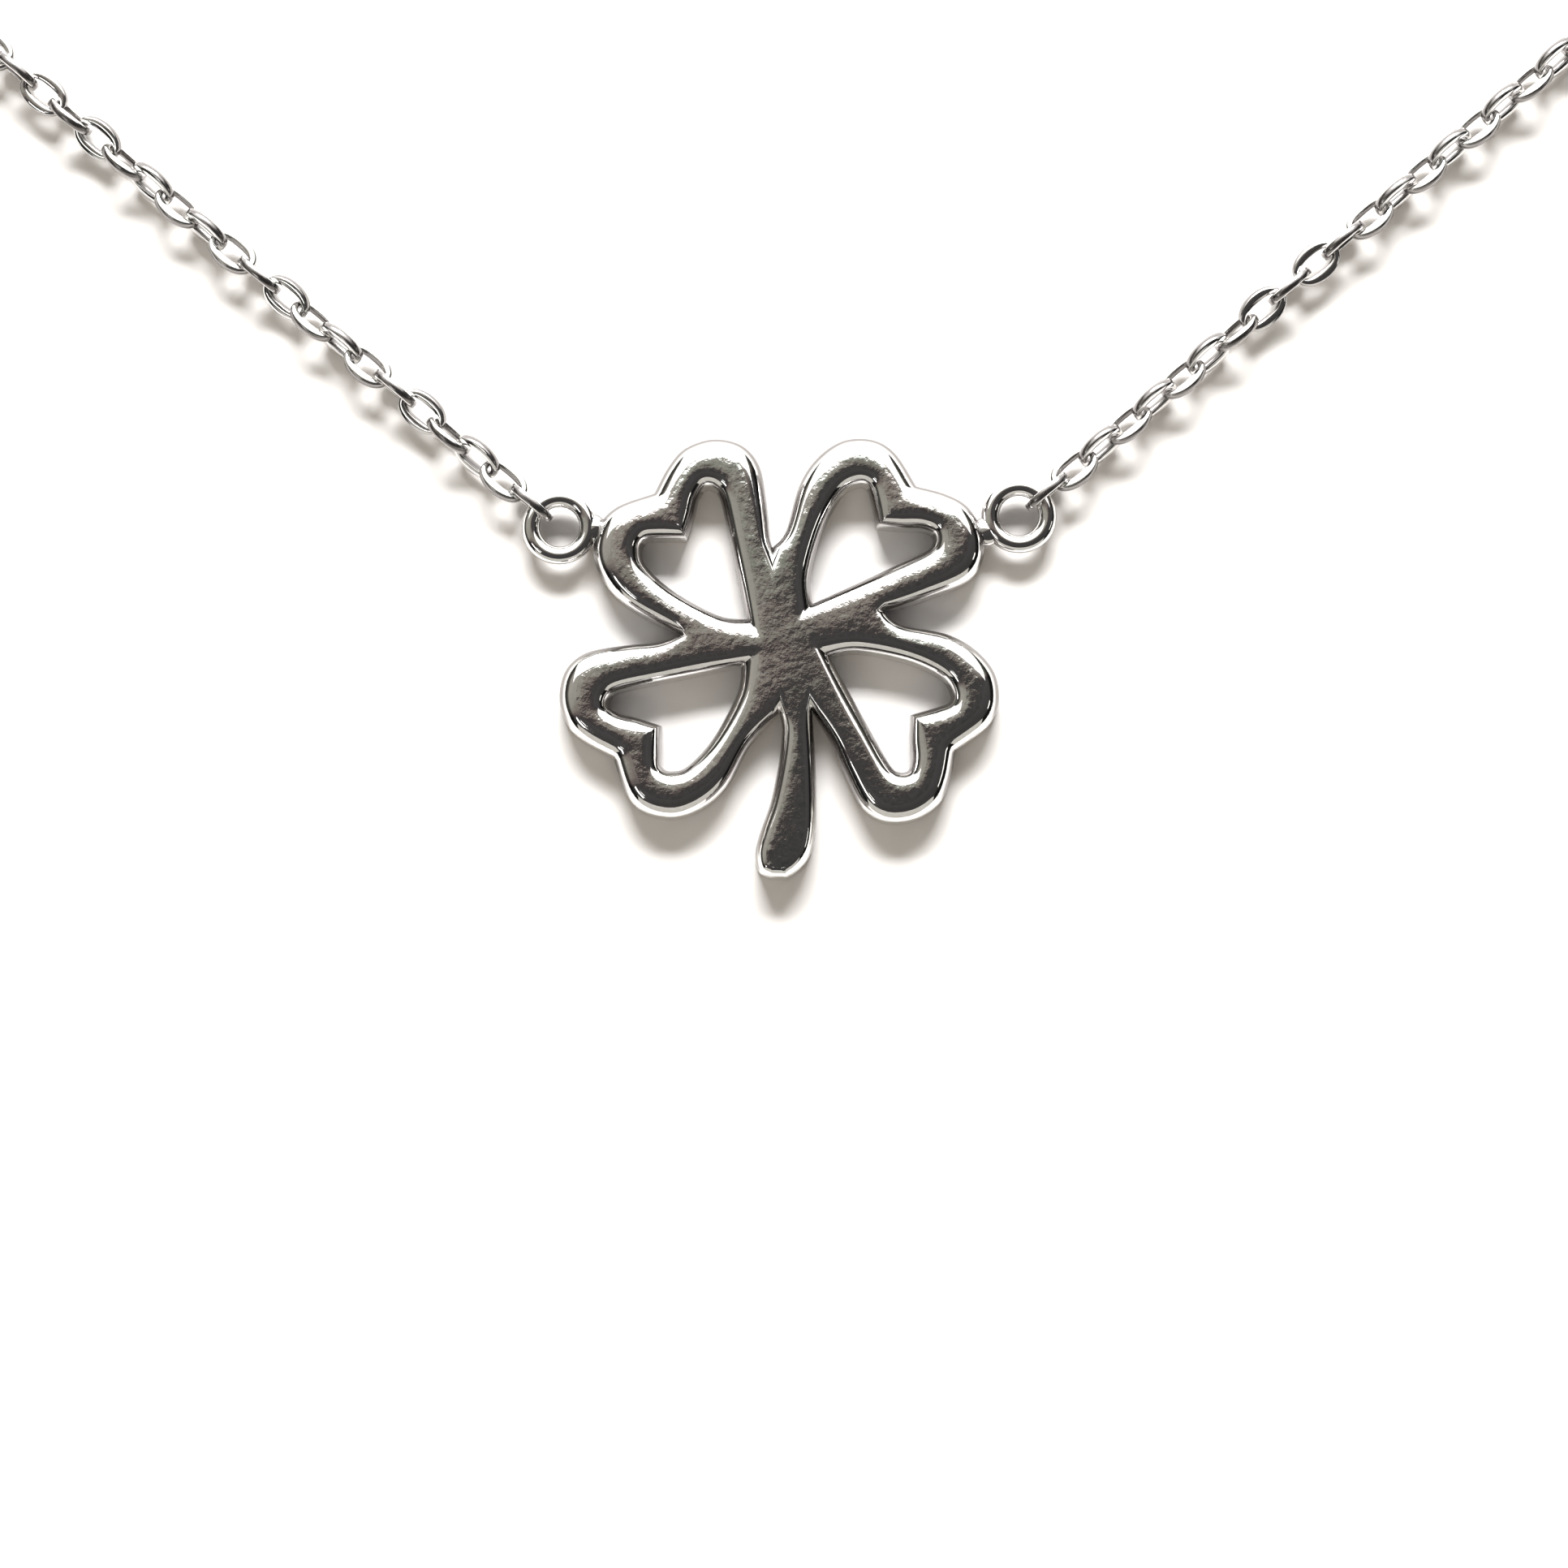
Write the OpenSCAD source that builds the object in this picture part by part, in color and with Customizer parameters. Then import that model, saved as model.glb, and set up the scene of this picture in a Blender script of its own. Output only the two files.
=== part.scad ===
// Necklace with an open four leaf clover, lying flat on a table.
// The clover's flat back is at z = 0, +Y points up the neck and the hub is at the origin.

/* [Clover] */
// Thickness of the casting
clover_thick = 1.4; // [1.1:0.1:2]
// Depth of the soft edge round the top face
edge_depth = 0.7; // [0.3:0.05:0.9]
// Width of the soft edge round the leaves
leaf_edge_w = 0.6; // [0.4:0.02:0.64]
// Width of the soft edge round the holes
hole_edge_w = 0.5; // [0.38:0.02:0.54]
// Width of the soft edge along the stem
stem_edge_w = 0.38; // [0.2:0.02:0.44]
// Small bevel round the back
back_bevel = 0.1; // [0.05:0.05:0.2]

/* [Side loops] */
// Mean radius of the loops soldered to the upper leaves
loop_mean_r = 0.97; // [0.9:0.01:1.05]
// Radius of the loops' wire
loop_wire_r = 0.3; // [0.24:0.01:0.32]
// Height of the loops' centre above the table
loop_z = 0.72; // [0.7:0.01:0.8]

/* [Chain] */
// Length of the closed necklace, the clover included
necklace_len = 406; // [390:2:460]
// Angle at which the chain leaves the clover, from the X axis
drape_angle = 40.3; // [36:0.1:45]
// Links on each side
links_per_side = 159; // [159:2:159]
// Length of a link outside
link_len = 1.8; // [1.78:0.01:1.86]
// Width of a link outside
link_w = 1.24; // [1.2:0.01:1.3]
// Wire of a link, across the link's plane opening
wire_t = 0.22; // [0.18:0.01:0.24]
// Wire of a link, along the link's own axis
wire_w = 0.28; // [0.24:0.01:0.3]
// Height of the chain's centre line above the table
chain_z = 0.72; // [0.7:0.01:0.8]

/* [Clasp] */
// Mean radius of the clasp ring
clasp_mean_r = 2.2; // [2:0.1:2.6]
// Radius of the clasp ring's tube
clasp_tube_r = 0.34; // [0.3:0.01:0.36]

/* [Hidden] */

// A heart leaf, its tip at the hub and its lobes up +Y, a row for each section of its band:
// [outer edge across, outer edge along, hole's line across, the same along]
LEAF_LEFT = [[-2.3, 2.9, -1, 2.1], [-2.95, 4.3, -1.75, 3.7], [-3.12, 5.4, -2.02, 5.05],
             [-2.85, 6.45, -1.75, 5.85], [-2.1, 7.15, -1.15, 6.15], [-1.2, 7.3, -0.55, 5.85],
             [0.05, 6.92, 0, 5.35]];
LEAF_RIGHT = [[0.05, 6.92, 0, 5.35], [0.95, 7.35, 0.4, 5.75], [1.8, 7.52, 0.95, 6.2],
              [2.75, 7.2, 1.6, 6.38], [3.4, 6.45, 2.08, 5.95], [3.45, 5.5, 2.08, 5.3],
              [2.85, 4.3, 1.5, 4], [2.3, 3.4, 0.9, 2.7]];
LEAF_TIP = [0, 0.85];      // of the top face
OPENING_TIP = [0, 1.62];
hole_out = 0.38;           // from the hole's line to its wall
// The leaves clockwise from the upper right: [angle of its middle line, shift in x, shift in y]
LEAVES = [[49, 0, -0.04], [323.5, 0.3, 0.33], [216, -0.05, 0.03], [126.5, -0.2, -0.64]];
// The forks between the leaves, on the left of each leaf, and the one on the right of the stem:
// [x, y, top face's corner x, its y, width of the soft edge beside it]
FORKS = [[-0.28, 3.1, -0.3, 2.0, 0.38], [3.43, 0.93, 3.1, 0.88, 0.25],
         [-0.08, -2.5, -0.04, -1.73, 0.23], [-3.36, 0.14, -3.12, 0.02, 0.19],
         [1.0, -2.4, 0.9, -1.74, 0.23]];
// The stem's edges from the hub down: [left x, left y, right x, right y]
STEM = [[0, -3.1, 1.06, -3.1], [-0.12, -4.2, 1.12, -4.2], [-0.4, -5.5, 1.15, -5.5],
        [-0.72, -6.4, 1.12, -6.5], [-0.93, -7.2, 0.95, -7.25], [-0.8, -7.85, 0.55, -7.8],
        [-0.4, -8.1, 0.1, -8.12]];
HUB_AT = [0.2, 0];
LOOPS_AT = [[-7.47, 3.83], [8.03, 4.13]];  // left and right loop centres
// The soldered joints, from the loop's wire into the leaf: [x, y, x, y]
SOLDER = [[-6.5, 3.75, -6, 3.7], [7.06, 3.6, 6.6, 3.5]];
steps = 3;  // sections made between two rows
edge_arc = [0, 22.5, 45, 67.5, 90];
layers = 7;  // points of the edge's section: bevel, wall and arc

// The chain's line, the same on both sides of the middle
middle_x = (LOOPS_AT[0].x + LOOPS_AT[1].x) / 2;
loop_half = (LOOPS_AT[1].x - LOOPS_AT[0].x) / 2;
loop_y = (LOOPS_AT[0].y + LOOPS_AT[1].y) / 2;
side_len = (necklace_len - 2 * loop_half) / 2;
turn = (180 - drape_angle) * PI / 180;
ring_r = (side_len + loop_half / cos(drape_angle)) / (tan(drape_angle) + turn);
straight_len = side_len - ring_r * turn;
centre_y = loop_y + straight_len * sin(drape_angle) + ring_r * cos(drape_angle);
arc_start = [middle_x + ring_r * sin(drape_angle), centre_y - ring_r * cos(drape_angle)];

// Where the chain ends, in the clasp
gap = 0.09;
clasp_z = 0.72;
eye_mean_r = 0.75;
eye_wire_r = 0.25;
eye_at = clasp_mean_r + clasp_tube_r + eye_mean_r + eye_wire_r - 0.3;
end_ring_len = 2.6;
end_ring_w = 1.42;
end_ring_wire = 0.28;
hook_right = eye_at + eye_mean_r - eye_wire_r - gap - wire_t + link_len / 2;
hook_left = clasp_mean_r - clasp_tube_r - 2 * gap - end_ring_wire + end_ring_len
    - end_ring_wire - gap - wire_t + link_len / 2;
first_link = loop_mean_r - loop_wire_r - gap - wire_t + link_len / 2;
// One pitch more on the right than on the left, so the clasp stands a little left of the middle
pitch = (2 * side_len - hook_right - hook_left - 2 * first_link) / (2 * links_per_side - 3);
clasp_x = middle_x + side_len - first_link - (links_per_side - 1) * pitch - hook_right;
clasp_y = centre_y + ring_r * cos(hook_right / ring_r * 180 / PI);
front_links = 20;
// How far the front links are twisted about their line, on the left and on the right
TWIST = [[0, -26, -42, -62, -68, -90, -112, -112, -128, -148,
          -172, -198, -200, -210, -216, -236, -244, -250, -262, -274],
         [0, -26, -30, -36, -28, -34, -36, -58, -68, -84,
          -80, -94, -118, -112, -124, -120, -118, -122, -130, -124]];
tube_r = 0.68;
tube_rings = 40;

// A smooth line through points, open at both ends
function bend(a, b, c, d, t) =
    (2*t*t*t - 3*t*t + 1) * b + (t*t*t - 2*t*t + t) * (c - a) / 2
    + (3*t*t - 2*t*t*t) * c + (t*t*t - t*t) * (d - b) / 2;
function smooth(p) = [for (i = [0 : len(p) - 2]) for (k = [0 : steps - 1])
    bend(p[max(i - 1, 0)], p[i], p[i + 1], p[min(i + 2, len(p) - 1)], k / steps)];

// A point of a side's line at distance s from its loop's centre, and its heading. Both sides are
// drawn on the right, each from the height of its own loop.
function start(side) = [middle_x + loop_half, LOOPS_AT[side > 0 ? 1 : 0].y];
function heading(s, side) = let (v = arc_start - start(side)) s < straight_len
    ? atan2(v.y, v.x) : drape_angle + (s - straight_len) / ring_r * 180 / PI;
function line_at(s, side) = let (v = arc_start - start(side), a = heading(s, side))
    s < straight_len ? [each start(side) + v * s / straight_len, chain_z]
    : [middle_x + ring_r * sin(a), centre_y - ring_r * cos(a), chain_z];

// How a link is turned about its line: edge up and face up by turns, and the chain's own twist
function roll(i, side) = (i % 2 == 0 ? 90 : 0)
    + (i < front_links ? TWIST[side > 0 ? 1 : 0][i] : 0);

// A point of a closed outline that runs clockwise, moved out by d
function moved(p, k, d) = let (n = len(p), v = p[(k + 1) % n] - p[(k + n - 1) % n])
    [p[k].x, p[k].y] + d * [-v.y, v.x] / norm([v.x, v.y]);

// Points of a leaf's own frame, set in their place
function placed(leaf, points) = let (a = leaf[0] - 90) [for (p = points)
    [leaf[1] + p.x * cos(a) - p.y * sin(a), leaf[2] + p.x * sin(a) + p.y * cos(a)]];

// The outline is a list of [x, y, width of the soft edge]; each stretch leaves its last point out
function fork(k) = let (c = FORKS[k]) [[c.x, c.y, c[4]]];
function edge_at(p, rows) =      // rows from a fork
    [p.x, p.y, min(leaf_edge_w, 0.38 + 0.11 * rows)];
function leaf_edge(i) =
    let (l = placed(LEAVES[i], LEAF_LEFT), r = placed(LEAVES[i], LEAF_RIGHT), last = len(r) - 1)
    concat(smooth(concat(fork(i), [for (k = [0 : len(l) - 1]) edge_at(l[k], k)])),
           smooth(concat([for (k = [0 : last]) edge_at(r[k], last - k)],
                         fork(i == 1 ? 4 : (i + 1) % 4))));
stem_n = len(STEM) - 1;
stem_right = [for (r = STEM) [r[2], r[3], stem_edge_w]];
stem_left = [for (k = [stem_n : -1 : 0]) [STEM[k][0], STEM[k][1], stem_edge_w]];
stem_edge = concat(smooth(concat(fork(4), stem_right)), [stem_right[stem_n]],
                   smooth(concat(stem_left, fork(2))));
outline = concat(leaf_edge(0), leaf_edge(1), stem_edge, leaf_edge(2), leaf_edge(3));

// The top face's edge, with its own corners in the forks
function top_corner(p) = [for (c = FORKS) if (norm([p.x - c.x, p.y - c.y]) < 0.001) [c[2], c[3]]];
top_edge = [for (k = [0 : len(outline) - 1]) let (c = top_corner(outline[k]))
    len(c) > 0 ? c[0] : moved(outline, k, -outline[k][2])];

// The hole of a leaf, at the top face and at the wall below the soft edge
notch = len(LEAF_LEFT);
hole_line = concat([LEAF_TIP], [for (r = LEAF_LEFT) [r[2], r[3]]],
                   [for (k = [1 : len(LEAF_RIGHT) - 1]) [LEAF_RIGHT[k][2], LEAF_RIGHT[k][3]]]);
function hole_at(tip, d) = [for (k = [0 : len(hole_line) - 1])
    k == 0 ? tip : moved(hole_line, k, d)];
HOLE = hole_at(LEAF_TIP, hole_edge_w - hole_out);
OPENING = hole_at(OPENING_TIP, -hole_out);
function hole_edge(p) = concat(smooth([for (k = [0 : notch]) p[k]]),
                               smooth([for (k = [notch : len(p)]) p[k % len(p)]]));

// Sections of the soft edge, from the back up to the top face, one for each point of a line
function soft_edge(top, wall) = [for (k = [0 : len(top) - 1]) let (in = top[k] - wall[k])
    for (l = [0 : layers - 1]) let (a = l < 2 ? 0 : edge_arc[l - 2])
    l == 0 ? [each wall[k] + in / norm(in) * back_bevel, 0] :
    l == 1 ? [each wall[k], back_bevel] :
    [each top[k] - in * cos(a), clover_thick - edge_depth * (1 - sin(a))]];

// The leaves, the hub and the stem as one body, cast in one piece
module body() {
    n = len(outline);
    m = len(hole_edge(HOLE));
    points = concat(
        soft_edge(top_edge, [for (p = outline) [p.x, p.y]]),
        [for (leaf = LEAVES) each soft_edge(placed(leaf, hole_edge(HOLE)),
                                            placed(leaf, hole_edge(OPENING)))],
        [[HUB_AT.x, HUB_AT.y, 0], [HUB_AT.x, HUB_AT.y, clover_thick]]);
    middle = (n + 4 * m) * layers;
    starts = [0, m, n - 2 * m, n - m];  // of the leaves, in the outline
    stem_at = 2 * m;
    stem_rows = (n - 4 * m - 1) / 2;

    walls = [for (k = [0 : n - 1]) for (l = [0 : layers - 2]) let (k2 = (k + 1) % n)
        [k * layers + l, k2 * layers + l, k2 * layers + l + 1, k * layers + l + 1]];
    hole_walls = [for (i = [0 : 3]) for (k = [0 : m - 1]) for (l = [0 : layers - 2])
        let (a = (n + i * m + k) * layers + l, b = (n + i * m + (k + 1) % m) * layers + l)
        [b, a, a + 1, b + 1]];
    // Columns of the sections that each flat piece of the back and the top joins
    bands = [for (i = [0 : 3]) for (k = [0 : m - 1]) let (o = starts[i] + k, h = n + i * m)
        [o, (o + 1) % n, h + (k + 1) % m, h + k]];
    stem_strips = [for (k = [0 : stem_rows - 1]) let (r = stem_at + k, l = n - 2 * m - k)
        [r, r + 1, l - 1, l]];
    hub = [0, n, m, n + m, stem_at, n - 2 * m, n + 2 * m, n - m, n + 3 * m];
    flats = concat(bands, stem_strips);
    top = layers - 1;
    polyhedron(points, concat(walls, hole_walls,
        [for (f = flats) [for (c = f) c * layers + top]],
        [for (f = flats) [for (k = [3 : -1 : 0]) f[k] * layers]],
        [for (k = [0 : 8]) [middle + 1, hub[k] * layers + top, hub[(k + 1) % 9] * layers + top]],
        [for (k = [0 : 8]) [middle, hub[(k + 1) % 9] * layers, hub[k] * layers]]));
}

// The joint between a side loop and the leaf beside it
module solder(from, to) {
    hull() {
        translate(from) sphere(0.3, $fn = 14);
        translate(to) sphere(0.36, $fn = 14);
    }
}

module wire_ring(mean_r, wire_r) {
    rotate_extrude($fn = 32) translate([mean_r, 0]) circle(wire_r, $fn = 14);
}

module clover() {
    color("silver") {
        body();
        for (p = LOOPS_AT) translate([p.x, p.y, loop_z]) wire_ring(loop_mean_r, loop_wire_r);
        for (j = SOLDER) solder([j[0], j[1], loop_z], [j[2], j[3], loop_z]);
    }
}

// An oval ring of flattened wire round the Z axis, its length along X, a little fuller than an
// ellipse and with a flat at each end
module oval_ring(length, width, thick, tall, sides = 10, wire_sides = 5) {
    middle = [for (k = [0 : sides - 1]) let (a = (k + 0.5) * 360 / sides)
        [(length - thick) / 2 * cos(a) / cos(180 / sides),
         (width - thick) / 2 * sign(sin(a)) * pow(abs(sin(a)), 0.8)]];
    points = [for (k = [0 : sides - 1]) for (j = [0 : wire_sides - 1])
        let (a = (k + 0.5) * 360 / sides, b = j * 360 / wire_sides,
             out = [cos(a) / length, sin(a) / width], n = out / norm(out) * thick / 2 * cos(b))
        [middle[k].x + n.x, middle[k].y + n.y, tall / 2 * sin(b)]];
    faces = [for (k = [0 : sides - 1]) for (j = [0 : wire_sides - 1])
        let (k2 = (k + 1) % sides, j2 = (j + 1) % wire_sides)
        [k * wire_sides + j, k * wire_sides + j2, k2 * wire_sides + j2, k2 * wire_sides + j]];
    polyhedron(points, faces);
}

// Link i of a side, counted from the clover
module link(i, side) {
    s = first_link + i * pitch;
    translate(line_at(s, side)) rotate(heading(s, side)) rotate([roll(i, side), 0, 0])
        oval_ring(link_len, link_w, wire_t, wire_w);
}

module on_side(side) {
    if (side > 0) children();
    else translate([2 * middle_x, 0]) mirror([1, 0]) children();
}

module chain_front(side) {
    color("silver") on_side(side) for (i = [0 : front_links - 1]) link(i, side);
}

// The hidden stretch: a plain tube as thick as the chain, and the last link in the clasp
module chain_rear(side) {
    last = side > 0 ? links_per_side - 1 : links_per_side - 2;
    from = first_link + (front_links - 1) * pitch + link_len / 2 + 2 * gap;
    to = first_link + last * pitch - link_len / 2 - 2 * gap;
    sides = 8;
    ring_points = [for (k = [0 : tube_rings - 1])
        let (s = from + (to - from) * k / (tube_rings - 1), c = line_at(s, side), h = heading(s, side))
        for (j = [0 : sides - 1]) let (b = (j + 0.5) * 360 / sides)
        c + tube_r * [sin(h) * cos(b), -cos(h) * cos(b), sin(b)]];
    walls = [for (k = [0 : tube_rings - 2]) for (j = [0 : sides - 1]) let (j2 = (j + 1) % sides)
        [k * sides + j, k * sides + j2, (k + 1) * sides + j2, (k + 1) * sides + j]];
    caps = [[for (j = [sides - 1 : -1 : 0]) j],
            [for (j = [0 : sides - 1]) (tube_rings - 1) * sides + j]];
    color("silver") on_side(side) {
        polyhedron(ring_points, concat(walls, caps));
        link(last, side);
    }
}

module end_ring() {
    x = clasp_x - clasp_mean_r + clasp_tube_r + 2 * gap + end_ring_wire - end_ring_len / 2;
    color("silver") translate([x, clasp_y, clasp_z]) rotate([90, 0, 0])
        oval_ring(end_ring_len, end_ring_w, end_ring_wire, end_ring_wire, 16, 6);
}

module clasp() {
    color("silver") translate([clasp_x, clasp_y, clasp_z]) {
        wire_ring(clasp_mean_r, clasp_tube_r);
        translate([eye_at, 0, 0]) wire_ring(eye_mean_r, eye_wire_r);
    }
}

clover();
chain_front(-1);  // chain_front_left
chain_front(1);  // chain_front_right
chain_rear(-1);  // chain_rear_left
chain_rear(1);  // chain_rear_right
end_ring();
clasp();
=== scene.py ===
from math import atan2, ceil, cos, hypot, pi, radians, sin, tan
import bpy
import bmesh
from mathutils import Matrix, Vector


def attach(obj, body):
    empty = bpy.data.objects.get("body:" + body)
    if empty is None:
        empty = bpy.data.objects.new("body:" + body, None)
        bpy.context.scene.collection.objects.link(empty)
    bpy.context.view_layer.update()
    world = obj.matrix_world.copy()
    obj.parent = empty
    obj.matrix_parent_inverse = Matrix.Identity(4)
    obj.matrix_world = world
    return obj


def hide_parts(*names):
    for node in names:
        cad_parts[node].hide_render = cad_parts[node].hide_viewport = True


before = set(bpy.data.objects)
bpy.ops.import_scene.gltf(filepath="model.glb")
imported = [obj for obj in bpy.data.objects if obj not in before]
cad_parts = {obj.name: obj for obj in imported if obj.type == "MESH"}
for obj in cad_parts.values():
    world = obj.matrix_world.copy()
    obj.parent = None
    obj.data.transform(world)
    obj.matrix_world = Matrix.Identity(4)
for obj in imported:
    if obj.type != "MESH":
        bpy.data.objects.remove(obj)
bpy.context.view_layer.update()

mm = 0.001  # pieces are modelled in millimetres and scaled down when they are finished
mergeDistance = 1e-5  # mm, closer vertices are merged
levelSlack = 1e-4     # mm, how exactly a vertex lies at a height


# Small helpers used by every piece

def deselectAll():
    if bpy.context.mode != "OBJECT":
        bpy.ops.object.mode_set(mode="OBJECT")
    bpy.ops.object.select_all(action="DESELECT")


def activate(piece):
    deselectAll()
    piece.select_set(True)
    bpy.context.view_layer.objects.active = piece


def editMode(piece):
    activate(piece)
    bpy.ops.object.mode_set(mode="EDIT")


def applyPlace(piece):
    activate(piece)
    bpy.ops.object.transform_apply(location=True, rotation=True, scale=True)


def addRing(mean, wire, place, segments):
    # a round ring that lies flat
    bpy.ops.mesh.primitive_torus_add(major_segments=segments[0], minor_segments=segments[1],
                                     major_radius=mean, minor_radius=wire, location=place)
    ring = bpy.context.object
    applyPlace(ring)
    return ring


def joinPieces(pieces, name):
    activate(pieces[0])
    for piece in pieces:
        piece.select_set(True)
    if len(pieces) > 1:
        bpy.ops.object.join()
    pieces[0].name = pieces[0].data.name = name
    return pieces[0]


def recalculateNormals(piece, merge=False):
    editMode(piece)
    bpy.ops.mesh.select_all(action="SELECT")
    if merge:
        bpy.ops.mesh.remove_doubles(threshold=mergeDistance)
    bpy.ops.mesh.normals_make_consistent(inside=False)
    bpy.ops.object.mode_set(mode="OBJECT")


def finishPiece(piece, nodes, smoothAngle=40):
    # millimetres to metres, smooth shading, then hand it to the frame
    piece.scale = (mm, mm, mm)
    applyPlace(piece)
    bpy.ops.object.shade_smooth_by_angle(angle=radians(smoothAngle))
    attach(piece, "root")
    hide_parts(*nodes)


def markDullAndShade(piece, amount):
    # how dull each vertex is and how far painted shade darkens it, from 0 to 1, which the silver
    # reads
    dullAndShade = piece.data.attributes.new("dullAndShade", "FLOAT", "POINT")
    for vertex, value in zip(piece.data.vertices, dullAndShade.data):
        value.value = min(max(amount(vertex), 0.0), 1.0)


def dullAndShadeBelow(height, depth):
    # dull and darkened by painted shade from this height down, at its fullest after the depth,
    # and painted lighter again towards -y
    def amount(vertex):
        frontLitShare = silverFinish["frontLitShare"] * max(0.0, -vertex.normal.y)
        return (height - vertex.co.z) / depth * (1 - frontLitShare)
    return amount


def smoothLine(points, steps):
    # a soft line through the points from the first up to the last, which it leaves out
    line = []
    last = len(points) - 1
    for i in range(last):
        a, b, c, d = points[max(i - 1, 0)], points[i], points[i + 1], points[min(i + 2, last)]
        for k in range(steps):
            t = k / steps
            weights = (2 * t**3 - 3 * t**2 + 1, t**3 - 2 * t**2 + t,
                       3 * t**2 - 2 * t**3, t**3 - t**2)
            line.append(tuple(weights[0] * q + weights[1] * (r - p) / 2
                              + weights[2] * r + weights[3] * (s - q) / 2
                              for p, q, r, s in zip(a, b, c, d)))
    return line


def movedOut(line, k, distance):
    # point k of a closed line that runs clockwise, moved outwards
    before, after = line[k - 1], line[(k + 1) % len(line)]
    dx, dy = after[0] - before[0], after[1] - before[1]
    size = hypot(dx, dy)
    return (line[k][0] - distance * dy / size, line[k][1] + distance * dx / size)


# Camera, set up over the clover

cameraSetup = {
    "axisPoint": (0.057, -4.85, 0.0),  # the point that the picture's centre looks at, in mm
    "distance": 150.0,
    "elevation": 86.0,  # degrees above the table, seen from the stem's side
    "roll": 0.3,
    "lens": 102.0,
    "sensor": 36,
    "clip": (0.005, 20),  # in metres
}


def makeCamera():
    tilt = radians(90 - cameraSetup["elevation"])
    x, y, z = cameraSetup["axisPoint"]
    back = Vector((0, -sin(tilt), cos(tilt))) * cameraSetup["distance"]
    bpy.ops.object.camera_add(location=(Vector((x, y, z)) + back) * mm,
                              rotation=(tilt, 0, 0))
    camera = bpy.context.object
    camera.name = "tableCamera"
    camera.rotation_euler.rotate_axis("Z", -radians(cameraSetup["roll"]))
    camera.data.sensor_width = cameraSetup["sensor"]
    camera.data.lens = cameraSetup["lens"]
    camera.data.clip_start, camera.data.clip_end = cameraSetup["clip"]
    bpy.context.scene.camera = camera
    print("camera placed")


makeCamera()


# Shader tools: values that can be added and multiplied, and one method for every other node

class Value:
    def __init__(self, finish, socket):
        self.finish, self.socket = finish, socket

    def math(self, operation, first, second):
        return self.finish.node("ShaderNodeMath", {0: first, 1: second}, operation=operation)

    def __add__(self, other):
        return self.math("ADD", self, other)

    def __mul__(self, other):
        return self.math("MULTIPLY", self, other)

    def __sub__(self, other):
        return self.math("SUBTRACT", self, other)

    def __rsub__(self, other):
        return self.math("SUBTRACT", other, self)

    __radd__, __rmul__ = __add__, __mul__


class Finish:
    def __init__(self, owner):
        owner.use_nodes = True
        self.owner = owner
        self.tree = owner.node_tree
        self.tree.nodes.clear()

    def node(self, kind, inputs=None, out=0, stops=None, **settings):
        made = self.tree.nodes.new(kind)
        for name, value in settings.items():
            setattr(made, name, value)
        if stops:
            ramp = made.color_ramp
            while len(ramp.elements) < len(stops):
                ramp.elements.new(0.5)
            for element, (place, shade) in zip(ramp.elements, stops):
                colour = (shade, shade, shade) if isinstance(shade, float) else shade
                element.position = place
                element.color = (*colour, 1)
        for name, value in (inputs or {}).items():
            if isinstance(value, Value):
                self.tree.links.new(value.socket, made.inputs[name])
            else:
                made.inputs[name].default_value = value
        return Value(self, made.outputs[out]) if len(made.outputs) else made


# Silver finishes

silverFinish = {
    "colour": (0.90, 0.895, 0.885),
    "tarnish": (0.60, 0.525, 0.52),
    "greenTarnish": (0.51, 0.555, 0.515),
    "dullAndShade": (0.25, 0.235, 0.23),     # painted shade: darker, duller metal down the sides
    "dullAndShadeStops": (0.35, 0.9),        # marks between which it fades in
    "flankRough": 0.15,               # what it adds to the roughness
    "frontLitShare": 1.4,                    # painted light: how far the flanks that face -y, towards the front lights, lose their painted shade
    # patterns: noise scale, detail, noise values between which the pattern fades in
    "clouds": (650, 3, 0.34, 0.68),
    "patches": (3600, 4, 0.40, 0.66),
    "grain": (8200, 2, 0.38, 0.64),
    "areas": (420, 2, 0.42, 0.58),    # where the green tarnish takes over
    "hairs": (900, 3, 0.60, 0.72),    # fine scratches, stretched and turned
    "hairStretch": (12, 0.7, 1),
    "hairTurn": 23,
    "mottleShares": (0.2, 0.4, 0.4),  # of clouds, patches and grain
    "wearShares": (0.5, 0.9, 0.5),    # of clouds, patches and hairs
    # small dents and wider waves: noise scale, detail, height in mm
    "dents": (5200, 2, 0.0042),
    "waves": (1100, 2, 0.008),
    "dome": 1.9,  # bulge of the flat faces: their fall 1 mm from the centre, in thousandths of it
}


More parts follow.
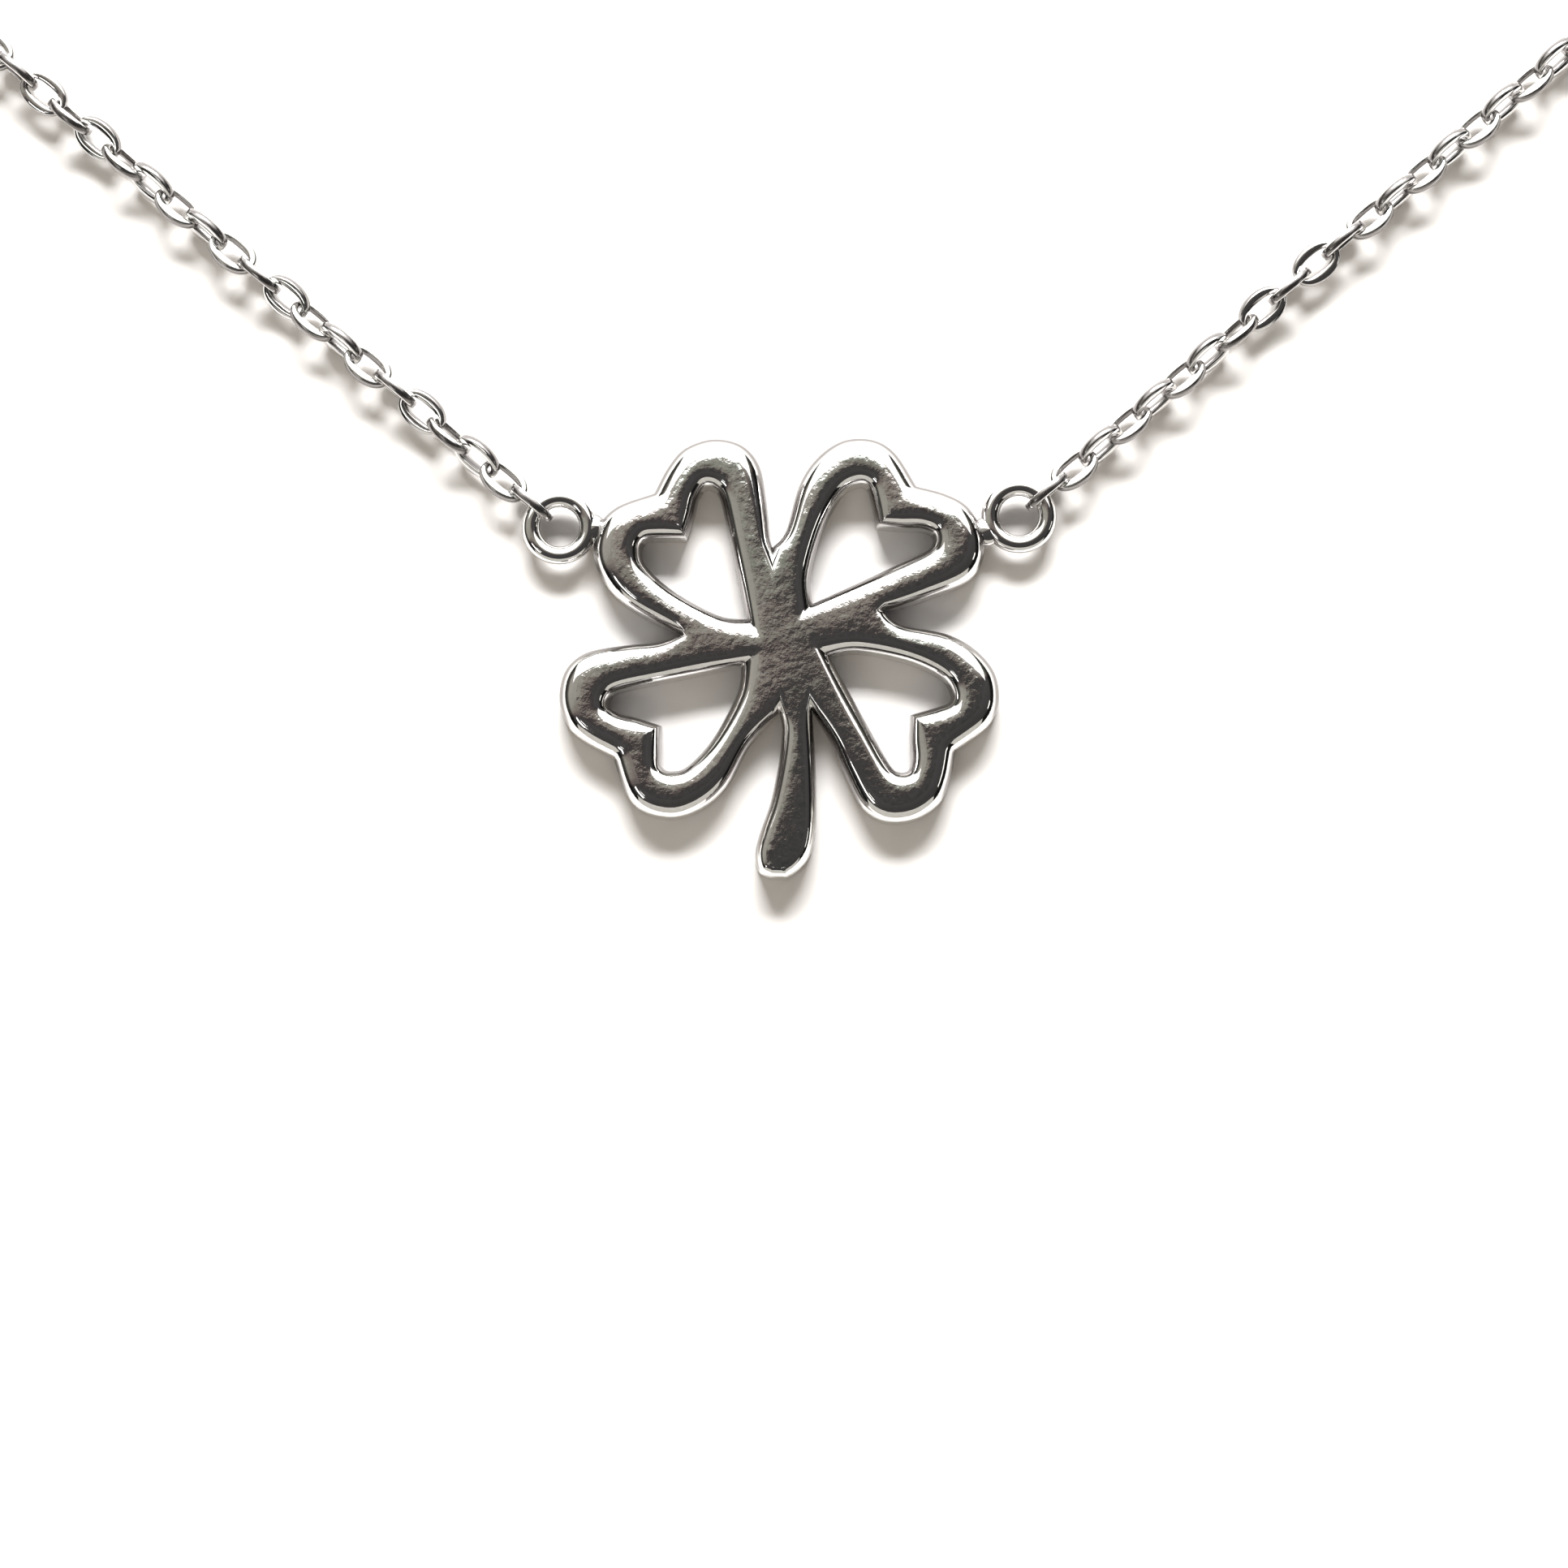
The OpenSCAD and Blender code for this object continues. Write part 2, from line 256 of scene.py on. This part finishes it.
def makeSilver(name, polish, mottle, wear, dents, dome=0.0):
    # polish is the least roughness; mottle, wear and dents are strengths
    finish = Finish(bpy.data.materials.new(name))
    place = finish.node("ShaderNodeTexCoord", out="Object")

    def noise(scale, detail, stretch=(1, 1, 1), turn=0.0):
        mapped = finish.node("ShaderNodeMapping", {"Vector": place, "Scale": stretch,
                                                   "Rotation": (0, 0, radians(turn))})
        return finish.node("ShaderNodeTexNoise", {"Vector": mapped, "Scale": scale,
                                                  "Detail": detail, "Roughness": 0.6})

    def ramp(value, start, end):
        return finish.node("ShaderNodeValToRGB", {"Fac": value}, stops=[(start, 0.0), (end, 1.0)])

    def pattern(title, stretch=(1, 1, 1), turn=0.0):
        scale, detail, start, end = silverFinish[title]
        return ramp(noise(scale, detail, stretch, turn), start, end)

    def mixed(factor, first, second):
        # the two colours are sockets or names from the dictionary
        first, second = ((*silverFinish[shade], 1) if isinstance(shade, str) else shade
                         for shade in (first, second))
        return finish.node("ShaderNodeMix", {0: factor, 6: first, 7: second},
                           out=2, data_type="RGBA")

    def relief(title):
        scale, detail, size = silverFinish[title]
        return noise(scale, detail) * size

    clouds, patches, grain, areas = (pattern(title)
                                     for title in ("clouds", "patches", "grain", "areas"))
    hairs = pattern("hairs", silverFinish["hairStretch"], silverFinish["hairTurn"])
    dullAndShade = ramp(finish.node("ShaderNodeAttribute", out="Fac", attribute_name="dullAndShade"),
                 *silverFinish["dullAndShadeStops"])

    a, b, c = silverFinish["mottleShares"]
    colour = mixed((clouds * a + patches * b + grain * c) * mottle, "colour",
                   mixed(areas, "tarnish", "greenTarnish"))
    # painted shade: the marked sides turn towards the dark, dull colour
    colour = mixed(dullAndShade, colour, "dullAndShade")
    a, b, c = silverFinish["wearShares"]
    rough = ((clouds * a + patches * b + hairs * c) * wear + dullAndShade * silverFinish["flankRough"]
             + polish)

    # height in millimetres: small dents, wider waves and the slight bulge of the flat faces
    height = (relief("dents") + relief("waves")) * dents
    if dome:
        across, along = (finish.node("ShaderNodeSeparateXYZ", {"Vector": place}, out=axis)
                         for axis in "XY")
        fall = dome / mm  # the coordinates are in metres, the height in millimetres
        height = height - (across * across + along * along) * fall
    bump = finish.node("ShaderNodeBump", {"Height": height, "Strength": 1.0, "Distance": mm})
    shader = finish.node("ShaderNodeBsdfPrincipled", {
        "Base Color": colour, "Metallic": 1.0, "Roughness": rough, "Normal": bump})
    finish.node("ShaderNodeOutputMaterial", {"Surface": shader})
    return finish.owner


flatSilver = makeSilver("flatSilver", polish=0.05, mottle=1.0, wear=0.06, dents=2.6,
                        dome=silverFinish["dome"])
edgeSilver = makeSilver("edgeSilver", polish=0.05, mottle=0.25, wear=0.03, dents=0.35)
backSilver = makeSilver("backSilver", polish=0.22, mottle=0.8, wear=0.12, dents=1.0)
wireSilver = makeSilver("wireSilver", polish=0.07, mottle=0.3, wear=0.05, dents=0.5)
print("finishes made")


# The clover: four open heart leaves, the hub and the stem in one casting

clover = {
    "thick": 1.4,
    "crown": [(0.08, 0.0115), (0.08, 0.006)],  # insets of the top face and their rise
    "backInset": [(0.02, 0.0)],                # keeps the back's shading flat
    "edgeDepth": 0.7,    # soft edge round the top face
    "edge": 0.38,        # its width along the stem
    "leafEdge": 0.6,     # round the leaves
    "holeEdge": 0.5,     # and round the holes
    "edgeGrowth": 0.11,  # what it gains with each row from a fork
    "holeOut": 0.38,     # from a hole's line to its wall
    "backBevel": 0.1,
    "backArris": [(0.0, 1.0), (0.35, 0.39), (1.0, 0.0)],  # inwards and up, shares of the bevel
    "steps": 7,          # columns between two rows of the tables
    "arcSteps": 9,       # rows of the soft edge
    "dullAndShade": (1.22, 0.12),      # height below which the sides are dull and darkened by painted shade, and how soon
    "ringDullAndShade": (0.88, 0.07),  # the same for the loops and the clasp
    # one leaf upwards from the hub at 0, 0: x, y of its outer edge, x, y of the line of its hole
    "left": [(-2.3, 2.9, -1, 2.1), (-2.95, 4.3, -1.75, 3.7), (-3.12, 5.4, -2.02, 5.05),
             (-2.85, 6.45, -1.75, 5.85), (-2.1, 7.15, -1.15, 6.15), (-1.2, 7.3, -0.55, 5.85),
             (0.05, 6.92, 0, 5.35)],
    "right": [(0.05, 6.92, 0, 5.35), (0.95, 7.35, 0.4, 5.75), (1.8, 7.52, 0.95, 6.2),
              (2.75, 7.2, 1.6, 6.38), (3.4, 6.45, 2.08, 5.95), (3.45, 5.5, 2.08, 5.3),
              (2.85, 4.3, 1.5, 4), (2.3, 3.4, 0.9, 2.7)],
    "tip": (0, 0.85),          # of the hole at the top face
    "openingTip": (0, 1.62),   # and at its wall
    # the leaves clockwise from the upper right: angle of the middle line, shift x, y
    "leaves": [(49, 0, -0.04), (323.5, 0.3, 0.33), (216, -0.05, 0.03), (126.5, -0.2, -0.64)],
    # forks on the left of each leaf and right of the stem: x, y, top corner x, y, edge width
    "forks": [(-0.28, 3.1, -0.3, 2.0, 0.38), (3.43, 0.93, 3.1, 0.88, 0.25),
              (-0.08, -2.5, -0.04, -1.73, 0.23), (-3.36, 0.14, -3.12, 0.02, 0.19),
              (1.0, -2.4, 0.9, -1.74, 0.23)],
    # rows down the stem: left x, y, right x, y
    "stem": [(0, -3.1, 1.06, -3.1), (-0.12, -4.2, 1.12, -4.2), (-0.4, -5.5, 1.15, -5.5),
             (-0.72, -6.4, 1.12, -6.5), (-0.93, -7.2, 0.95, -7.25), (-0.8, -7.85, 0.55, -7.8),
             (-0.4, -8.1, 0.1, -8.12)],
    "loops": [(-7.47, 3.83), (8.03, 4.13)],
    "loopMean": 0.97,
    "loopWire": 0.3,
    "loopZ": 0.72,
    "loopSegments": (80, 28),   # round the loop, round the wire
    "solder": [(-6.34, 3.76, 0.70, -5), (6.92, 3.60, 0.70, 28)],  # x, y, z, turn
    "solderHalf": (0.44, 0.50, 0.30),  # half length, width and height of a soldered joint
}


def leafPoint(leaf, point):
    # a point of the drawn leaf in the place of this one
    turn = radians(leaf[0] - 90)
    return (leaf[1] + point[0] * cos(turn) - point[1] * sin(turn),
            leaf[2] + point[0] * sin(turn) + point[1] * cos(turn))


def cloverOutline():
    # the outer edge clockwise as (x, y, width of the soft edge)
    steps, forks = clover["steps"], clover["forks"]

    def fork(k):
        return (forks[k][0], forks[k][1], forks[k][4])

    def leafEdge(i):
        leaf = clover["leaves"][i]
        growing = [min(clover["leafEdge"], clover["edge"] + clover["edgeGrowth"] * k)
                   for k in range(len(clover["right"]))]
        left = [(*leafPoint(leaf, row[:2]), width) for row, width in zip(clover["left"], growing)]
        right = [(*leafPoint(leaf, row[:2]), width)
                 for row, width in zip(clover["right"], reversed(growing))]
        following = 4 if i == 1 else (i + 1) % 4  # the stem follows the second leaf
        return smoothLine([fork(i)] + left, steps) + smoothLine(right + [fork(following)], steps)

    down = [(row[2], row[3], clover["edge"]) for row in clover["stem"]]
    up = [(row[0], row[1], clover["edge"]) for row in reversed(clover["stem"])]
    stem = smoothLine([fork(4)] + down, steps) + [down[-1]] + smoothLine(up + [fork(2)], steps)
    return leafEdge(0) + leafEdge(1) + stem + leafEdge(2) + leafEdge(3)


def softEdge(top, wall):
    # rows of points from the top face over the rounding, down the wall and round its arris
    steps, depth = clover["arcSteps"], clover["edgeDepth"]
    height = clover["thick"] - sum(rise for inset, rise in clover["crown"])
    rows = []
    for k in range(steps + 1):
        a = pi / 2 * (1 - k / steps)
        rows.append([(t[0] + (w[0] - t[0]) * cos(a), t[1] + (w[1] - t[1]) * cos(a),
                      height - depth * (1 - sin(a))) for t, w in zip(top, wall)])
    for inShare, upShare in clover["backArris"]:
        inwards, up = clover["backBevel"] * inShare, clover["backBevel"] * upShare
        rows.append([])
        for t, w in zip(top, wall):
            size = hypot(t[0] - w[0], t[1] - w[1])
            rows[-1].append((w[0] + (t[0] - w[0]) / size * inwards,
                             w[1] + (t[1] - w[1]) / size * inwards, up))
    return rows


def rimFromRows(rows, name):
    # a grid laid round the rim and closed at its seam
    columns = len(rows[0])
    bpy.ops.mesh.primitive_grid_add(x_subdivisions=columns, y_subdivisions=len(rows) - 1,
                                    size=2)
    rim = bpy.context.object
    rim.name = name
    for vertex in rim.data.vertices:
        column = round((vertex.co.x + 1) / 2 * columns)
        row = round((vertex.co.y + 1) / 2 * (len(rows) - 1))
        vertex.co = rows[row][column % columns]
    recalculateNormals(rim, merge=True)
    return rim


def closeFace(piece, height, insets):
    # fills the face between the open edges at this height, then insets it and lifts it
    editMode(piece)
    bpy.ops.mesh.select_mode(type="EDGE")
    bpy.ops.mesh.select_all(action="DESELECT")
    mesh = bmesh.from_edit_mesh(piece.data)
    for edge in mesh.edges:
        if len(edge.link_faces) == 1 and all(abs(vertex.co.z - height) < levelSlack
                                             for vertex in edge.verts):
            edge.select_set(True)
    bmesh.update_edit_mesh(piece.data)
    bpy.ops.mesh.fill(use_beauty=True)
    for inset, rise in insets:
        bpy.ops.mesh.inset(thickness=inset, depth=rise, use_even_offset=False)
    bpy.ops.object.mode_set(mode="OBJECT")


def makeClover():
    outline = cloverOutline()
    top = [movedOut(outline, k, -outline[k][2]) for k in range(len(outline))]
    for fork in clover["forks"]:
        nearest = min(range(len(outline)),
                      key=lambda k: hypot(outline[k][0] - fork[0], outline[k][1] - fork[1]))
        top[nearest] = (fork[2], fork[3])
    rims = [rimFromRows(softEdge(top, outline), "outerRim")]

    # the holes: their drawn line moved out for the top face and in for the wall
    drawn = [clover["tip"]] + [row[2:] for row in clover["left"] + clover["right"][1:]]
    notch = len(clover["left"])

    def holeLine(tip, distance):
        points = [tip] + [movedOut(drawn, k, distance) for k in range(1, len(drawn))]
        return (smoothLine(points[:notch + 1], clover["steps"])
                + smoothLine(points[notch:] + points[:1], clover["steps"]))

    holeTop = holeLine(clover["tip"], clover["holeEdge"] - clover["holeOut"])
    holeWall = holeLine(clover["openingTip"], -clover["holeOut"])
    for leaf in clover["leaves"]:
        rims.append(rimFromRows(softEdge([leafPoint(leaf, point) for point in holeTop],
                                         [leafPoint(leaf, point) for point in holeWall]),
                                "leafRim"))
    body = joinPieces(rims, "cloverBody")
    rim = clover["thick"] - sum(rise for inset, rise in clover["crown"])
    closeFace(body, rim, clover["crown"])
    closeFace(body, 0.0, clover["backInset"])
    recalculateNormals(body, merge=True)

    for finish in (flatSilver, edgeSilver, backSilver):
        body.data.materials.append(finish)
    # painted shade on the clover's lower sides
    markDullAndShade(body, dullAndShadeBelow(*clover["dullAndShade"]))
    for face in body.data.polygons:  # the flat top, the back, and the edges between them
        flat = face.center.z > rim + levelSlack and face.normal.z > 0.9
        back = face.center.z < levelSlack and face.normal.z < -0.9999
        face.material_index = 0 if flat else 2 if back else 1

    added = [addRing(clover["loopMean"], clover["loopWire"], (x, y, clover["loopZ"]),
                     clover["loopSegments"])
             for x, y in clover["loops"]]
    for x, y, z, turn in clover["solder"]:
        bpy.ops.mesh.primitive_uv_sphere_add(segments=32, ring_count=20, location=(x, y, z),
                                             rotation=(0, 0, radians(turn)))
        joint = bpy.context.object
        joint.scale = clover["solderHalf"]
        applyPlace(joint)
        added.append(joint)
    for part in added:
        part.data.materials.append(edgeSilver)
        # painted shade on the lower sides of the loops and joints
        markDullAndShade(part, dullAndShadeBelow(*clover["ringDullAndShade"]))
    joinPieces([body] + added, "cloverPendant")
    finishPiece(body, ["clover"])
    print("clover made")


makeClover()


# The chain: oval links of slightly flattened wire, each side from its loop to the clasp.
# Side 1 is the right one, side -1 the left one, and each starts with a link through its loop.

chain = {
    "closedLength": 406.0,
    "leavesAt": 40.3,      # angle of the straight stretch to the X axis
    "links": {1: 159, -1: 158},   # how many, by side
    "length": 1.8,
    "width": 1.28,
    "wire": 0.23,          # thickness in the link's plane, at its ends
    "wireSide": 0.35,      # and at its sides
    "firstSide": 0.24,     # sides of the first link, which the clover's loop passes through
    "wireTall": 0.30,      # thickness across the plane
    "fullness": 0.86,      # below 1 the oval is fuller than an ellipse
    "dullAndShadeSides": 0.9,      # dull and painted-shade mark at the widest part of the wire, which darkens its sides
    "dullAndShadeFade": 1.3,       # and how fast it fades towards the top
    "height": 0.72,        # centre line above the table
    "gap": 0.09,           # between metals that meet
    "modelWire": 0.22,     # wire of the solid links, which sets their spacing
    "nearLinks": 24,       # links a side that are modelled finely, at the clover
    "claspLinks": 6,       # and at the clasp
    "fineSegments": (32, 12),   # round the link, round the wire
    "plainSegments": (12, 5),
    "wander": 12,          # degrees that the hidden links' twist wanders
    "wanderStep": 67,      # and its phase from link to link
    # degrees that the front links are twisted about their line, from edge up and face up by turns
    "twist": {-1: [0, -26, -42, -62, -68, -90, -112, -112, -128, -148,
                   -172, -198, -200, -210, -216, -236, -244, -250, -262, -274],
              1: [0, -26, -30, -36, -28, -34, -36, -58, -68, -84,
                  -80, -94, -118, -112, -124, -120, -118, -122, -130, -124]},
}

# The clasp and the end ring, which the chain's length depends on
clasp = {
    "mean": 2.2,       # middle radius of the ring, and the radius of its tube
    "tube": 0.34,
    "eyeMean": 0.75,   # the same of its eye, which sits to the right
    "eyeTube": 0.25,
    "eyeAt": 3.24,
    "height": 0.72,    # above the table
    "segments": (72, 24),
    "endRingLength": 2.6,
    "endRingWidth": 1.4,
    "endRingWire": 0.28,
    "endRingSegments": (48, 14),
}

# each side runs straight and then along half of one large arc to the middle of the back
middleX = (clover["loops"][0][0] + clover["loops"][1][0]) / 2
loopHalf = (clover["loops"][1][0] - clover["loops"][0][0]) / 2
loopY = (clover["loops"][0][1] + clover["loops"][1][1]) / 2
lineAngle = radians(chain["leavesAt"])
sideLength = chain["closedLength"] / 2 - loopHalf
ringRadius = (sideLength + loopHalf / cos(lineAngle)) / (tan(lineAngle) + pi - lineAngle)
straightLength = sideLength - ringRadius * (pi - lineAngle)
centreY = loopY + straightLength * sin(lineAngle) + ringRadius * cos(lineAngle)
arcStart = (middleX + ringRadius * sin(lineAngle), centreY - ringRadius * cos(lineAngle))

# distances from the clasp's middle to the last links, and from a loop to the first one
hookRight = (clasp["eyeAt"] + clasp["eyeMean"] - clasp["eyeTube"] - chain["gap"]
             - chain["modelWire"] + chain["length"] / 2)
hookLeft = (clasp["mean"] - clasp["tube"] - 2 * chain["gap"] - clasp["endRingWire"]
            + clasp["endRingLength"] - clasp["endRingWire"] - chain["gap"]
            - chain["modelWire"] + chain["length"] / 2)
firstLink = (clover["loopMean"] - clover["loopWire"] - chain["gap"] - chain["modelWire"]
             + chain["length"] / 2)
pitch = ((2 * sideLength - hookRight - hookLeft - 2 * firstLink)
         / (chain["links"][1] + chain["links"][-1] - 2))
claspX = middleX + sideLength - firstLink - (chain["links"][1] - 1) * pitch - hookRight
claspY = centreY + ringRadius * cos(hookRight / ringRadius)


def chainPoint(distance, side):
    # a point of a side's line, drawn on the right, and its heading
    start = (middleX + loopHalf, clover["loops"][1 if side > 0 else 0][1])
    if distance < straightLength:
        share = distance / straightLength
        return (start[0] + (arcStart[0] - start[0]) * share,
                start[1] + (arcStart[1] - start[1]) * share,
                atan2(arcStart[1] - start[1], arcStart[0] - start[0]))
    heading = lineAngle + (distance - straightLength) / ringRadius
    return (middleX + ringRadius * sin(heading), centreY - ringRadius * cos(heading), heading)


def ovalRing(length, width, endThick, sideThick, tall, segments, flat=0.5):
    # a torus whose rings of vertices are laid on a full oval; a round wire has flat 1
    ring = addRing(1, 0.25, (0, 0, 0), segments)
    sides = []
    for vertex in ring.data.vertices:
        x, y, z = vertex.co
        a, b = atan2(y, x), atan2(z, hypot(x, y) - 1)
        thick = endThick + (sideThick - endThick) * sin(a) ** 2
        middle = ((length - thick) / 2 * cos(a),
                  (width - thick) / 2 * abs(sin(a)) ** chain["fullness"] * (1 if y >= 0 else -1))
        out = Vector((cos(a) / length, sin(a) / width)).normalized()
        wide, high = cos(b), sin(b)
        offset = thick / 2 * abs(wide) ** flat * (1 if wide >= 0 else -1)
        vertex.co = (middle[0] + out.x * offset, middle[1] + out.y * offset,
                     tall / 2 * abs(high) ** flat * (1 if high >= 0 else -1))
        # painted shade: the wire's sides are marked to be drawn darker
        sides.append(chain["dullAndShadeSides"] * abs(wide) ** chain["dullAndShadeFade"])
    markDullAndShade(ring, lambda vertex: sides[vertex.index])
    return ring


def linkRoll(i, side):
    twist = chain["twist"][side]
    if i < len(twist):
        turned = twist[i]
    else:  # the twist runs on to the next half turn at the clasp, with a slow wander
        share = (i - len(twist)) / (chain["links"][side] - 1 - len(twist))
        halfTurn = -180 * ceil(-twist[-1] / 180)
        fade = min(1, 4 * share, 4 - 4 * share)  # in and out over a quarter of the way
        turned = (twist[-1] + (halfTurn - twist[-1]) * share
                  + chain["wander"] * sin(radians(chain["wanderStep"] * i)) * fade)
    return (90 if i % 2 == 0 else 0) + turned


def makeChain(side, name, nodes):
    count = chain["links"][side]
    fine, first, plain = (
        ovalRing(chain["length"], chain["width"], chain["wire"], chain[sideWire],
                 chain["wireTall"], chain[segments])
        for sideWire, segments in (("wireSide", "fineSegments"), ("firstSide", "fineSegments"),
                                   ("wireSide", "plainSegments")))
    mirror = Matrix.Translation((2 * middleX, 0, 0)) @ Matrix.Scale(-1, 4, (1, 0, 0))
    links = []
    for i in range(count):
        x, y, heading = chainPoint(firstLink + i * pitch, side)
        place = (Matrix.Translation((x, y, chain["height"])) @ Matrix.Rotation(heading, 4, "Z")
                 @ Matrix.Rotation(radians(linkRoll(i, side)), 4, "X"))
        if side < 0:
            place = mirror @ place
        near = i < chain["nearLinks"] or i >= count - chain["claspLinks"]
        model = first if i == 0 else fine if near else plain
        link = model.copy()
        link.data = model.data.copy()
        link.data.transform(place)
        bpy.context.scene.collection.objects.link(link)
        links.append(link)
    for model in (fine, first, plain):
        bpy.data.objects.remove(model)
    piece = joinPieces(links, name)
    recalculateNormals(piece)
    piece.data.materials.append(wireSilver)
    finishPiece(piece, nodes, smoothAngle=60)
    print(name, "made of", count, "links")


makeChain(-1, "chainLeft", ["chain_front_left", "chain_rear_left"])
makeChain(1, "chainRight", ["chain_front_right", "chain_rear_right"])


# The plain clasp ring with its eye, and the end ring that hangs in it

def makeClasp():
    parts = [addRing(clasp[mean], clasp[tube], (claspX + at, claspY, clasp["height"]),
                     clasp["segments"])
             for at, mean, tube in ((0, "mean", "tube"), (clasp["eyeAt"], "eyeMean", "eyeTube"))]
    piece = joinPieces(parts, "claspRing")
    piece.data.materials.append(edgeSilver)
    # painted shade on the clasp's lower side
    markDullAndShade(piece, dullAndShadeBelow(*clover["ringDullAndShade"]))
    finishPiece(piece, ["clasp"])

    wire = clasp["endRingWire"]
    ring = ovalRing(clasp["endRingLength"], clasp["endRingWidth"], wire, wire, wire,
                    clasp["endRingSegments"], flat=1.0)
    ring.name = "endRing"
    x = (claspX - clasp["mean"] + clasp["tube"] + 2 * chain["gap"] + wire
         - clasp["endRingLength"] / 2)
    ring.data.transform(Matrix.Translation((x, claspY, clasp["height"]))
                        @ Matrix.Rotation(radians(90), 4, "X"))
    ring.data.materials.append(wireSilver)
    finishPiece(ring, ["end_ring"])
    print("clasp and end ring made")


makeClasp()


# Table and soft studio light

studio = {
    "tableColour": (0.90, 0.89, 0.885),
    "tableRoughness": 0.7,
    "fibres": (900, 3),                   # noise scale and detail of the paper
    "fibreShade": 0.985,
    "tableSize": 4,                       # in metres, as all lengths here
    "tableMiddle": (0, 0.06, -0.00002),   # just under the part
    # the room's own light from the dark side, at the lower right, to the light side
    "room": [(0.30, (0.050, 0.047, 0.046)), (0.49, (0.066, 0.063, 0.063)),
             (0.519, (0.046, 0.041, 0.041)), (0.541, (0.190, 0.158, 0.143)),
             (0.578, (0.330, 0.322, 0.280)), (0.68, (0.38, 0.36, 0.32)),
             (1.0, (0.42, 0.39, 0.34))],
    "roomMiddle": 0.5,      # place of straight up on that scale
    "roomAlong": 0.38,      # how much a direction's y counts on it
    "roomAcross": -0.16,    # and its x
    "darkHorizon": [(0.0, 0.10), (0.34, 0.16), (0.55, 1.0)],  # strength by height
    # name, distance, azimuth, angle from straight up, size, radiance, tint,
    # whether it lights the table, whether it shows in the metal
    "lights": [("keyLight", 0.55, 90, 52, (0.36, 0.14), 46.0, (1.0, 0.985, 0.97), True, True),
               ("backBoard", 1.0, 90, 55, (1.9, 1.48), 1.3, (1.0, 1.0, 1.0), False, True),
               ("frontStrip", 1.0, 270, 70, (2.4, 0.66), 0.62, (1.0, 0.96, 0.88), False, True),
               ("frontFill", 1.0, 270, 52, (1.3, 0.70), 1.38, (1.0, 0.89, 0.74), True, False),
               ("leftLamp", 0.9, 213, 46, (0.26, 0.13), 3.0, (1.0, 0.98, 0.95), True, True),
               ("upperLamp", 0.9, 215, 31, (0.10, 0.05), 2.2, (1.0, 0.98, 0.95), True, True),
               ("rightLamp", 0.9, 350, 62, (0.20, 0.10), 1.6, (1.0, 0.97, 0.92), True, True)],
}


def makeTable():
    bpy.ops.mesh.primitive_plane_add(size=studio["tableSize"], location=studio["tableMiddle"])
    table = bpy.context.object
    table.name = "table"
    finish = Finish(bpy.data.materials.new("palePaper"))
    place = finish.node("ShaderNodeTexCoord", out="Object")
    scale, detail = studio["fibres"]
    fibre = finish.node("ShaderNodeTexNoise", {"Vector": place, "Scale": scale, "Detail": detail})
    shaded = tuple(part * studio["fibreShade"] for part in studio["tableColour"])
    colour = finish.node("ShaderNodeValToRGB", {"Fac": fibre},
                         stops=[(0.3, shaded), (0.7, studio["tableColour"])])
    shader = finish.node("ShaderNodeBsdfPrincipled", {
        "Base Color": colour, "Roughness": studio["tableRoughness"]})
    finish.node("ShaderNodeOutputMaterial", {"Surface": shader})
    table.data.materials.append(finish.owner)


def makeLights():
    for name, distance, azimuth, fromUp, size, radiance, tint, *shown in studio["lights"]:
        a, b = radians(azimuth), radians(fromUp)
        place = distance * Vector((sin(b) * cos(a), sin(b) * sin(a), cos(b)))
        bpy.ops.object.light_add(type="AREA", location=place)
        light = bpy.context.object
        light.name = name
        light.data.shape = "RECTANGLE"
        light.data.size, light.data.size_y = size
        light.data.energy = radiance * pi * size[0] * size[1]
        light.data.color = tint
        light.rotation_euler = place.to_track_quat("Z", "Y").to_euler()
        light.visible_camera = False
        light.visible_diffuse, light.visible_glossy = shown

    sky = Finish(bpy.data.worlds.new("studioSky"))
    bpy.context.scene.world = sky.owner
    direction = sky.node("ShaderNodeTexCoord", out="Generated")
    across, along, up = (sky.node("ShaderNodeSeparateXYZ", {"Vector": direction}, out=name)
                         for name in "XYZ")
    lightSide = (along * studio["roomAlong"] + across * studio["roomAcross"]
                 + studio["roomMiddle"])
    room = sky.node("ShaderNodeValToRGB", {"Fac": lightSide}, stops=studio["room"])
    horizon = sky.node("ShaderNodeValToRGB", {"Fac": up}, stops=studio["darkHorizon"])
    back = sky.node("ShaderNodeBackground", {"Color": room, "Strength": horizon})
    sky.node("ShaderNodeOutputWorld", {"Surface": back})
    bpy.context.scene.view_settings.view_transform = "Standard"
    print("table and lights made")


makeTable()
makeLights()
